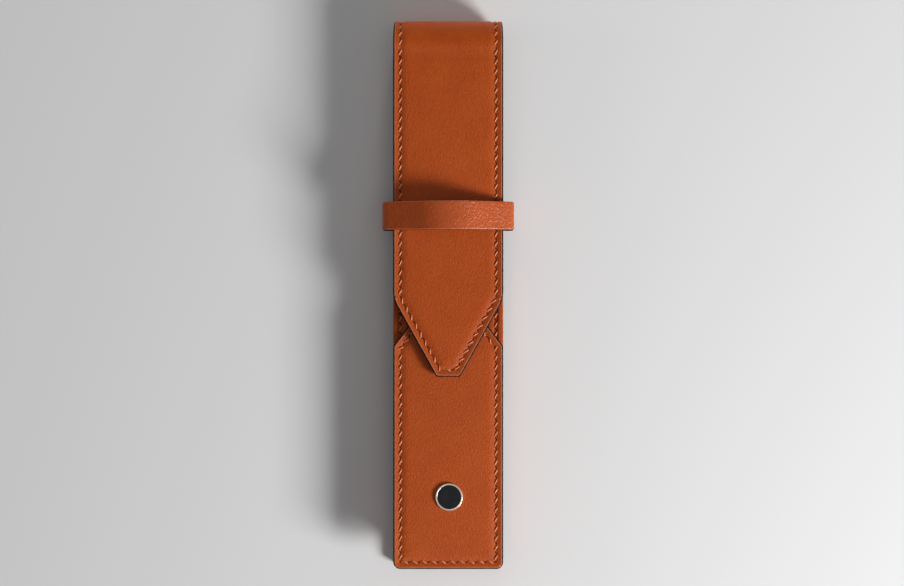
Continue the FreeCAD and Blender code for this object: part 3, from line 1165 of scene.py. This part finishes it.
@dataclass
class Strip:
    """The long strip that is the back, the fold over the top end and the flap."""

    shoulder: float = 81.0 * MM
    shoulder_radius: float = 9.0 * MM
    tip_width: float = 7.2 * MM
    tip_radius: float = 1.2 * MM
    corner_radius: float = 2.1 * MM
    flap_crown: float = 0.18 * MM
    crown_fade: float = 14.0 * MM
    flap_tangents: int = 7
    back_cell: float = 0.8 * MM
    back_thread_sink: float = 0.115 * MM
    fold_cell: float = 0.5 * MM
    fold_arcs: int = 4
    end_arcs: tuple[int, int] = (2, 3)
    tongue_lift: float = 0.9 * MM
    lift_from: float = 16.0 * MM
    crease_height: float = 0.13 * MM
    crease_reach: float = 1.7 * MM
    crease_places: tuple[float, float] = (-1.1 * MM, 2.2 * MM)
    crown_pinch: float = 0.014
    pinch_reach: float = math.radians(40)
    fold_edges: tuple[float, ...] = (0.0, 0.125, 0.375, 0.625, 0.875, 1.0)

    def __post_init__(self) -> None:
        """Reads the roll from the CAD boxes."""
        back_low, back_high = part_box("back_outer")
        flap_low, flap_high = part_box("flap_outer")
        lining_low, lining_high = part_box("flap_lining")
        self.low, self.high = back_low, back_high
        self.roll_end = max(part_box(f"fold_outer_{n}")[1].y for n in self.end_arcs)
        self.radius = (flap_high.z - back_low.z) / 2
        self.centre = Vector((0.0, self.roll_end - self.radius, back_low.z + self.radius))
        self.flap_top = flap_high.z
        self.tip = flap_low.y
        self.skin_depth = flap_high.z - flap_low.z
        self.lining_depth = lining_high.z - lining_low.z
        self.roll_length = math.pi * self.radius

    def roll_point(self, flat: Vector) -> Vector:
        """Lays a point of the flat strip round the roll.

        Args:
            flat: place across, length round the outer face from the back, and height over the outer face.

        Returns:
            The point in the frame.
        """
        angle = flat.y / self.radius - math.pi / 2
        reach = self.radius + flat.z
        pinch = 1 - self.crown_pinch * math.exp(-((angle / self.pinch_reach) ** 2))
        along = self.centre.y + reach * math.cos(angle)
        level = self.centre.z + reach * math.sin(angle)
        return Vector((flat.x * pinch, along, level))

    def crease(self, length: np.ndarray) -> np.ndarray:
        """Soft cross wrinkle where the roll runs out into the flap.

        Args:
            length: lengths along the strip past the roll's end.

        Returns:
            The wrinkle's heights.
        """
        ridge, dip = self.crease_places
        rise = np.exp(-(((length - ridge) / self.crease_reach) ** 2))
        fall = np.exp(-(((length - dip) / self.crease_reach) ** 2))
        return self.crease_height * (rise - fall)

    def lift(self, place: Vector) -> Vector:
        """Lets the flap's tongue stand off the front a little more towards its tip."""
        share = min(1.0, max(0.0, (self.lift_from - place.y) / (self.lift_from - self.tip)))
        return place + Vector((0.0, 0.0, self.tongue_lift * share * share * (3 - 2 * share)))

    def flap_outline(self) -> Outline:
        """Sets the flap's corners; its side at the fold is open.

        Returns:
            The outline.
        """
        half, shoulder = self.high.x, self.low.y + self.shoulder
        return Outline(
            [
                Corner(-self.tip_width / 2, self.tip, self.tip_radius),
                Corner(self.tip_width / 2, self.tip, self.tip_radius),
                Corner(half, shoulder, self.shoulder_radius),
                Corner(half, self.centre.y, edge_follows=False),
                Corner(-half, self.centre.y),
                Corner(-half, shoulder, self.shoulder_radius),
            ],
            tangents=self.flap_tangents,
        )

    def back_outline(self) -> Outline:
        """Sets the back's corners; its side at the fold is open.

        Returns:
            The outline.
        """
        half = self.high.x
        return Outline(
            [
                Corner(-half, self.low.y, self.corner_radius),
                Corner(half, self.low.y, self.corner_radius),
                Corner(half, self.centre.y, edge_follows=False),
                Corner(-half, self.centre.y),
            ]
        )

    def build_flap(self, palette: Palette, seams: Seams) -> None:
        """Makes the flap, its lining and its stitches.

        Args:
            palette: the materials.
            seams: what the seams share.
        """
        outline = self.flap_outline()
        spots = seams.spots(outline)
        cut = SheetCut(crown=self.flap_crown)
        sheet = LeatherSheet(outline, cut, self.flap_top, self.flap_top - self.skin_depth)

        def swell(places: np.ndarray, depth: np.ndarray) -> np.ndarray:
            """Adds the wrinkle beside the fold, and fades the crown out towards it.

            Args:
                places: an array of x and y.
                depth: depths from the edge.

            Returns:
                Heights to add to the skin.
            """
            past = self.centre.y - places[:, 1]
            faded = np.clip(1 - past / self.crown_fade, 0, 1)
            return self.crease(past) - self.flap_crown * cut.crown_share(depth) * faded

        sheet.raise_skin(spots, swell)
        sheet.close()
        sheet.move(self.lift)
        backing = LiningCut().flat_ply(outline, "flap_lining", faces_down=True)
        sewn = seams.shape.sew(spots, seams.pitch, self.flap_top - seams.floor)
        backing, sewn = carry(backing, self.lift), carry(sewn, self.lift)
        mount_panel("flap", Body.FLAP, palette, sheet.mesh, backing, sewn)

    def build_back(self, palette: Palette, seams: Seams) -> None:
        """Makes the back with its outer face down, its lining and its stitches.

        Args:
            palette: the materials.
            seams: what the seams share.
        """
        outline = self.back_outline()
        spots = seams.spots(outline)
        sheet = LeatherSheet(outline, SheetCut(cell=self.back_cell), 0.0, self.low.z - self.high.z)
        sheet.raise_skin(spots)
        sheet.close()

        def turned(flat: Vector) -> Vector:
            """Turns the sheet's skin down onto the table."""
            return Vector((-flat.x, flat.y, self.low.z - flat.z))

        sheet.move(turned)
        backing = LiningCut().flat_ply(outline, "back_lining", faces_down=False)
        sewn = seams.shape.sew(spots, seams.pitch, -seams.floor - self.back_thread_sink)
        mount_panel("back", Body.POUCH, palette, sheet.mesh, backing, carry(sewn, turned))

    def fold_ply(
        self, start: float, end: float, cut: SheetCut, top: float, depth: float, spots: list[SeamSpot]
    ) -> LeatherSheet:
        """One ply of a stretch of the roll, laid round it.

        Args:
            start: where the stretch starts round the roll.
            end: where it ends.
            cut: its edge, seam and mesh.
            top: height of its skin over the roll's outer face.
            depth: its thickness.
            spots: stitches that pull it in.

        Returns:
            The ply.
        """
        half = self.high.x
        outline = Outline(
            [
                Corner(-half, start, edge_follows=False),
                Corner(half, start),
                Corner(half, end, edge_follows=False),
                Corner(-half, end),
            ]
        )
        sheet = LeatherSheet(outline, cut, top, top - depth)

        def swell(places: np.ndarray, _depth: np.ndarray) -> np.ndarray:
            """Wrinkle where the roll ends."""
            return self.crease(places[:, 1] - self.roll_length)

        sheet.raise_skin(spots, swell if cut.has_seam else None)
        sheet.close(bends=True)
        sheet.move(self.roll_point)
        return sheet

    def fold_spots(self, seams: Seams) -> list[SeamSpot]:
        """Spaces stitches round the roll, up one side and down the other as on the panels.

        Args:
            seams: what the seams share.

        Returns:
            The stitches' spots on the flat strip.
        """
        count = round(self.roll_length / seams.pitch)
        lengths = [(n + 0.5) * self.roll_length / count for n in range(count)]
        seam = self.high.x - seams.inset
        right = [SeamSpot(Vector((seam, length)), math.pi / 2) for length in lengths]
        left = [SeamSpot(Vector((-seam, length)), -math.pi / 2) for length in lengths]
        return right + left

    def fold_leather(self, start: float, end: float, spots: list[SeamSpot]) -> list[Mesh]:
        """Makes both plies of a stretch of the roll.

        Args:
            start: where the stretch starts round the roll.
            end: where it ends.
            spots: stitches that pull the outer ply in.

        Returns:
            The meshes of the outer leather and the lining.
        """
        lining_cut = LiningCut().sheet_cut(bends=True)
        outer = self.fold_ply(start, end, SheetCut(cell=self.fold_cell), 0.0, self.skin_depth, spots)
        lining = self.fold_ply(start, end, lining_cut, -self.skin_depth, self.lining_depth, [])
        for piece in lining.mesh.faces:
            if piece.material_index == Face.SKIN.value:
                piece.material_index = Face.BACKING.value
        return [outer.mesh, lining.mesh]

    def build_fold(self, palette: Palette, seams: Seams) -> None:
        """Makes the roll in stretches, one for each hinge, laid round the roll and left where they are
        laid.

        Args:
            palette: the materials.
            seams: what the seams share.
        """
        arcs = [f"fold_{n}" for n in range(1, self.fold_arcs + 1)]
        bodies = [Body.POUCH.value, *arcs, Body.FLAP.value]
        spots = self.fold_spots(seams)
        edges = [share * self.roll_length for share in self.fold_edges]
        for n, (start, end) in enumerate(zip(edges, edges[1:]), start=1):
            held = bodies[n - 1], bodies[n]
            mine = [spot for spot in spots if start <= spot.place.y < end]
            sewn = carry(seams.shape.sew(mine, seams.pitch, -seams.floor, lean=-1.0), self.roll_point)
            bmesh.ops.recalc_face_normals(sewn, faces=sewn.faces)
            plies = self.fold_leather(start, end, spots)
            leather = Piece.make(f"fold_leather_{n}", plies, palette.sheet())
            thread = Piece.make(f"fold_stitching_{n}", [sewn], palette.sewing())
            has_nodes = n <= self.fold_arcs
            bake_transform(leather)
            nodes = (f"fold_outer_{n}", f"fold_lining_{n}") if has_nodes else ()
            Piece.settle(leather, " and ".join(held), Slot.OUTER, *nodes)
            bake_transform(thread)
            nodes = (f"fold_thread_{n}",) if has_nodes else ()
            Piece.settle(thread, " and ".join(held), Slot.THREAD, *nodes)


@dataclass
class Gusset:
    """The channel between back and front, and the stitches that show beyond the front's chamfers."""

    merge: float = 0.002 * MM
    flat_angle: float = math.radians(1)
    sharp_angle: float = math.radians(40)
    edge_bevel: float = 0.16 * MM
    bevel_segments: int = 2
    rim_reach: float = 0.05 * MM
    seam_from: float = 69.0 * MM
    seam_to: float = 88.0 * MM

    def __post_init__(self) -> None:
        """Reads the channel's box."""
        self.low, self.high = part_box("gusset")

    def channel(self) -> Mesh:
        """Copies the CAD channel, rounds its edges and paints its rims.

        Returns:
            The mesh.
        """
        mesh = bmesh.new()
        mesh.from_mesh(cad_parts["gusset"].data)
        bmesh.ops.remove_doubles(mesh, verts=mesh.verts, dist=self.merge)
        bmesh.ops.dissolve_limit(mesh, angle_limit=self.flat_angle, verts=mesh.verts, edges=mesh.edges)
        sharp = [edge for edge in mesh.edges if edge.calc_face_angle(0.0) > self.sharp_angle]
        bmesh.ops.bevel(
            mesh,
            geom=sharp,
            offset=self.edge_bevel,
            segments=self.bevel_segments,
            profile=0.5,
            affect="EDGES",
            material=-1,
            clamp_overlap=True,
        )
        for piece in mesh.faces:
            middle = piece.calc_center_median()
            rim = min(self.high.x - abs(middle.x), middle.y - self.low.y)
            piece.material_index = (Face.PAINT if rim < self.rim_reach else Face.SKIN).value
        return mesh

    def stitches(self, seams: Seams) -> Mesh:
        """Sews both sides of the front flange where it shows.

        Args:
            seams: what the seams share.

        Returns:
            The mesh.
        """
        seam = self.high.x - seams.inset
        ends = Vector((0.0, self.low.y + self.seam_from)), Vector((0.0, self.low.y + self.seam_to))
        right = walk([end + Vector((seam, 0.0)) for end in ends], seams.pitch, seams.pitch / 2)
        left = walk([end - Vector((seam, 0.0)) for end in reversed(ends)], seams.pitch, seams.pitch / 2)
        return seams.shape.sew(right + left, seams.pitch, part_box("gusset_thread")[0].z)

    def build(self, palette: Palette, seams: Seams) -> None:
        """Makes the channel and its stitches.

        Args:
            palette: the materials.
            seams: what the seams share.
        """
        skin = [palette.leather, palette.paint]
        Piece.mount("gusset_channel", [self.channel()], skin, Body.POUCH, Slot.OUTER, "gusset")
        sewn = self.stitches(seams)
        Piece.mount("gusset_stitching", [sewn], palette.sewing(), Body.POUCH, Slot.THREAD, "gusset_thread")


@dataclass
class Loop:
    """Raised strap over the flap, laid along its route from tab to tab."""

    leather: float = 1.5 * MM
    tab: float = 4.5 * MM
    bend: float = 2.6 * MM
    crown_radius: float = 19.5 * MM
    pitch_angle: float = math.radians(24)
    bow: float = 0.30 * MM
    bow_from: float = 15.8 * MM
    trim_below: float = 0.60 * MM
    cell: float = 0.55 * MM
    edge_round: float = 0.42 * MM
    painted: float = 0.10 * MM
    # width of the painted highlight band along the strap's edges
    edge_highlight_width: float = 0.14 * MM

    def __post_init__(self) -> None:
        """Reads the strap's place from its CAD box and works out its route along the outer face."""
        self.low, self.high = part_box("loop_strap")
        self.low.y += self.trim_below
        self.reach = self.high.x
        tab_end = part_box("back_outer")[1].x - self.tab
        turn = math.pi / 2 - self.pitch_angle
        crown_run = self.crown_radius * math.sin(self.pitch_angle)
        crown_drop = self.crown_radius * (1 - math.cos(self.pitch_angle))
        slope_top = self.high.z - crown_drop
        bend_top_x = self.reach - self.bend * (1 - math.cos(turn))
        slope = (bend_top_x - crown_run) / math.cos(self.pitch_angle)
        slope_foot = slope_top - slope * math.sin(self.pitch_angle)
        leg_top = slope_foot - self.bend * math.sin(turn)
        # each part of half the route is a straight length or an arc's length with its turn
        half = [
            (self.reach - self.bend - tab_end, 0.0),
            (self.bend * math.pi / 2, math.pi / 2),
            (leg_top - self.low.z - self.bend, 0.0),
            (self.bend * turn, turn),
            (slope, 0.0),
            (self.crown_radius * self.pitch_angle, self.pitch_angle),
        ]
        self.parts = half + half[::-1]
        self.length = sum(length for length, _ in self.parts)
        self.start = Vector((tab_end, self.low.z))

    def at(self, length: float) -> tuple[Vector, float]:
        """Place in the section and heading on the strap's outer face at a length from its first end.

        Args:
            length: the length.

        Returns:
            The place as x and z, and the heading.
        """
        place, heading, left = self.start.copy(), 0.0, length
        for span, turn in self.parts:
            step = min(left, span)
            if turn:
                radius, share = span / turn, step / span * turn
                centre = place + Vector((-math.sin(heading), math.cos(heading))) * radius
                heading += share
                place = centre - Vector((-math.sin(heading), math.cos(heading))) * radius
            else:
                place = place + Vector((math.cos(heading), math.sin(heading))) * step
            left -= step
            if left <= 0:
                break
        return place, heading

    def lay(self, flat: Vector) -> Vector:
        """Lays a point of the flat strap along the route.

        Args:
            flat: length along the strap, place across it and height over its outer face.

        Returns:
            The point in the frame.
        """
        place, heading = self.at(flat.x)
        outward = Vector((math.sin(heading), -math.cos(heading)))
        spot = place + outward * flat.z
        width = self.high.y - self.low.y
        arched = max(0.0, 1 - (spot.x / self.reach) ** 2) if spot.y > self.bow_from else 0.0
        bulge = self.bow * arched * max(0.0, flat.y / width + 0.5)
        middle = (self.low.y + self.high.y) / 2
        return Vector((spot.x, middle + flat.y + bulge, spot.y))

    def build(self, palette: Palette) -> None:
        """Makes the strap.

        Args:
            palette: the materials.
        """
        half = (self.high.y - self.low.y) / 2
        outline = Outline(
            [
                Corner(0.0, -half),
                Corner(self.length, -half, edge_follows=False),
                Corner(self.length, half),
                Corner(0.0, half, edge_follows=False),
            ]
        )
        cut = SheetCut(
            cell=self.cell,
            edge_round=self.edge_round,
            painted=self.painted,
            edge_highlight_width=self.edge_highlight_width,
            has_seam=False,
        )
        sheet = LeatherSheet(outline, cut, 0.0, -self.leather)
        sheet.raise_skin()
        sheet.close(bends=True)
        sheet.move(self.lay)
        skin = palette.sheet(polished=True)
        Piece.mount("loop_band", [sheet.mesh], skin, Body.POUCH, Slot.OUTER, "loop_strap")


@dataclass
class Emblem:
    """Metal rim with a plain black disc set in it."""

    steps: int = 72
    rounding: float = 0.14 * MM
    round_steps: int = 3
    sink: float = 0.05 * MM
    dome: float = 0.10 * MM
    dome_shares: tuple[float, ...] = (0.0, 0.3, 0.55, 0.78, 0.93)
    dome_step: float = 0.03 * MM
    shift: Range = (0.25 * MM, 0.40 * MM)

    def __post_init__(self) -> None:
        """Reads the rim and the disc from their CAD boxes."""
        self.low, self.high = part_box("emblem_bezel")
        self.disc_low, self.disc_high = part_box("emblem_disc")
        middle = (self.low + self.high) / 2
        self.centre = Vector((middle.x + self.shift[0], middle.y + self.shift[1], 0.0))
        self.rim = (self.high.x - self.low.x) / 2
        self.well = (self.disc_high.x - self.disc_low.x) / 2

    def _turn(self, profile: Sequence[Range]) -> Mesh:
        """Spins a profile of radius and height about the upright axis through the centre.

        Args:
            profile: the profile's points.

        Returns:
            The mesh.
        """
        mesh = bmesh.new()
        centre = self.centre
        points = [mesh.verts.new((centre.x + radius, centre.y, height)) for radius, height in profile]
        lines = [mesh.edges.new(pair) for pair in zip(points, points[1:])]
        bmesh.ops.spin(
            mesh,
            geom=points + lines,
            cent=centre,
            axis=(0, 0, 1),
            angle=math.tau,
            steps=self.steps,
            use_merge=True,
        )
        bmesh.ops.remove_doubles(mesh, verts=mesh.verts, dist=WELD)
        bmesh.ops.recalc_face_normals(mesh, faces=mesh.faces)
        return mesh

    def rim_profile(self) -> list[Range]:
        """Runs over the rim from under its foot to its seat for the disc.

        Returns:
            The profile's points.
        """
        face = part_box("front_outer")[1].z - self.sink
        shoulder = self.high.z - self.rounding
        angles = [math.pi / 2 * n / self.round_steps for n in range(self.round_steps + 1)]
        arc = [(self.rounding * (1 - math.cos(a)), shoulder + self.rounding * math.sin(a)) for a in angles]
        outer = [(self.rim - inward, height) for inward, height in arc]
        inner = [(self.well + outward, height) for outward, height in reversed(arc)]
        foot = [(0.0, face), (self.rim, face)]
        seat = [(self.well, self.disc_low.z), (0.0, self.disc_low.z)]
        return foot + outer + inner + seat

    def disc_profile(self) -> list[Range]:
        """Runs over the soft dome of the disc and back under it.

        Returns:
            The profile's points.
        """
        edge = self.disc_high.z - self.dome
        domed = [(self.well * share, edge + self.dome * (1 - share**2)) for share in self.dome_shares]
        side = [(self.well, edge - self.dome_step), (self.well, self.disc_low.z)]
        return domed + side + [(0.0, self.disc_low.z)]

    def build(self, palette: Palette) -> None:
        """Makes the rim and the disc, and dresses the washer behind.

        Args:
            palette: the materials.
        """
        rim, disc = self._turn(self.rim_profile()), self._turn(self.disc_profile())
        Piece.mount("emblem_rim", [rim], [palette.metal], Body.POUCH, Slot.METAL, "emblem_bezel")
        Piece.mount("emblem_inlay", [disc], [palette.inlay], Body.POUCH, Slot.INLAY, "emblem_disc")
        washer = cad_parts["emblem_washer"]
        washer.data.materials.clear()
        washer.data.materials.append(palette.metal)


@dataclass(frozen=True)
class Lamp:
    """A square soft lamp that points at the case, and that glossy faces mirror only where it shines."""

    name: str
    place: tuple[float, float, float]
    size: float
    power: float
    shines: bool = True

    def light(self) -> None:
        """Adds the lamp to the scene."""
        data = bpy.data.lights.new(self.name, "AREA")
        data.size, data.energy = self.size, self.power
        made = bpy.data.objects.new(self.name, data)
        made.location = self.place
        made.visible_glossy = self.shines
        made.rotation_euler = (-Vector(self.place)).to_track_quat("-Z", "Y").to_euler()
        bpy.context.scene.collection.objects.link(made)


@dataclass
class Studio:
    """Pale floor, soft lamps and a camera straight above."""

    floor_size: float = 12.0
    floor_drop: float = 0.2 * MM
    camera_height: float = 0.9
    sensor: float = 36.0
    frame_pixels: int = 904
    pixel: float = 0.30 * MM
    sharp_level: float = 15.5 * MM
    aim: tuple[float, float] = (1.14 * MM, 0.40 * MM)
    ambient: float = 0.10
    backdrop: float = 0.62
    sky_strength: float = 0.31
    sky_angle: float = math.radians(50)
    sky_height: float = 2.0
    sight: Range = (0.01, 10.0)
    lamps: tuple[Lamp, ...] = (
        Lamp("key", (0.71, -0.43, 0.46), 0.30, 12.2),
        Lamp("crown_rim", (0.05, 0.85, 0.10), 0.20, 3.2, shines=False),
        Lamp("side_fill", (-0.9, 0.1, 0.35), 0.30, 0.6, shines=False),
    )

    def build(self, palette: Palette) -> None:
        """Makes the floor, the world, the lamps and the camera.

        Args:
            palette: the materials.
        """
        self._floor(palette)
        self._world()
        for lamp in self.lamps:
            lamp.light()
        self._sky()
        self._camera()
        bpy.context.scene.view_settings.view_transform = "Standard"

    def _floor(self, palette: Palette) -> None:
        """Lays the floor just under the case.

        Args:
            palette: the materials.
        """
        mesh = bmesh.new()
        bmesh.ops.create_grid(mesh, x_segments=2, y_segments=2, size=self.floor_size / 2)
        bmesh.ops.translate(mesh, vec=(0, 0, -self.floor_drop), verts=mesh.verts)
        made = Piece.make("floor", [mesh], [palette.floor])

    def _world(self) -> None:
        """Adds even soft light from all round, and a pale backdrop where the camera sees past the floor."""
        world = bpy.data.worlds.new("studio")
        world.use_nodes = True
        tree = world.node_tree
        backdrop = tree.nodes["Background"]
        backdrop.inputs["Color"].default_value = (1.0, 1.0, 1.0, 1.0)
        seen = tree.nodes.new("ShaderNodeLightPath")
        strength = tree.nodes.new("ShaderNodeMapRange")
        strength.inputs["To Min"].default_value = self.ambient
        strength.inputs["To Max"].default_value = self.backdrop
        tree.links.new(seen.outputs["Is Camera Ray"], strength.inputs["Value"])
        tree.links.new(strength.outputs["Result"], backdrop.inputs["Strength"])
        bpy.context.scene.world = world

    def _sky(self) -> None:
        """Adds a broad even light from overhead that reaches the whole floor."""
        data = bpy.data.lights.new("sky", "SUN")
        data.energy, data.angle = self.sky_strength, self.sky_angle
        made = bpy.data.objects.new("sky", data)
        made.location = (0.0, 0.0, self.sky_height)
        bpy.context.scene.collection.objects.link(made)

    def _camera(self) -> None:
        """Looks straight down, at the photograph's scale on the flap's level."""
        data = bpy.data.cameras.new("overhead")
        distance = self.camera_height - self.sharp_level
        data.sensor_width = self.sensor
        data.lens = self.sensor * distance / (self.frame_pixels * self.pixel)
        data.clip_start, data.clip_end = self.sight
        made = bpy.data.objects.new("overhead", data)
        made.location = (*self.aim, self.camera_height)
        bpy.context.scene.collection.objects.link(made)
        bpy.context.scene.camera = made


def main() -> None:
    """Builds the case and the studio in order."""
    logging.basicConfig(level=logging.INFO, format="%(name)s: %(message)s")
    palette, seams, strip = Palette(), Seams(), Strip()
    Studio().build(palette)
    strip.build_back(palette, seams)
    Gusset().build(palette, seams)
    FrontPanel().build(palette, seams)
    Emblem().build(palette)
    strip.build_fold(palette, seams)
    strip.build_flap(palette, seams)
    Loop().build(palette)


if __name__ == "__main__":
    main()
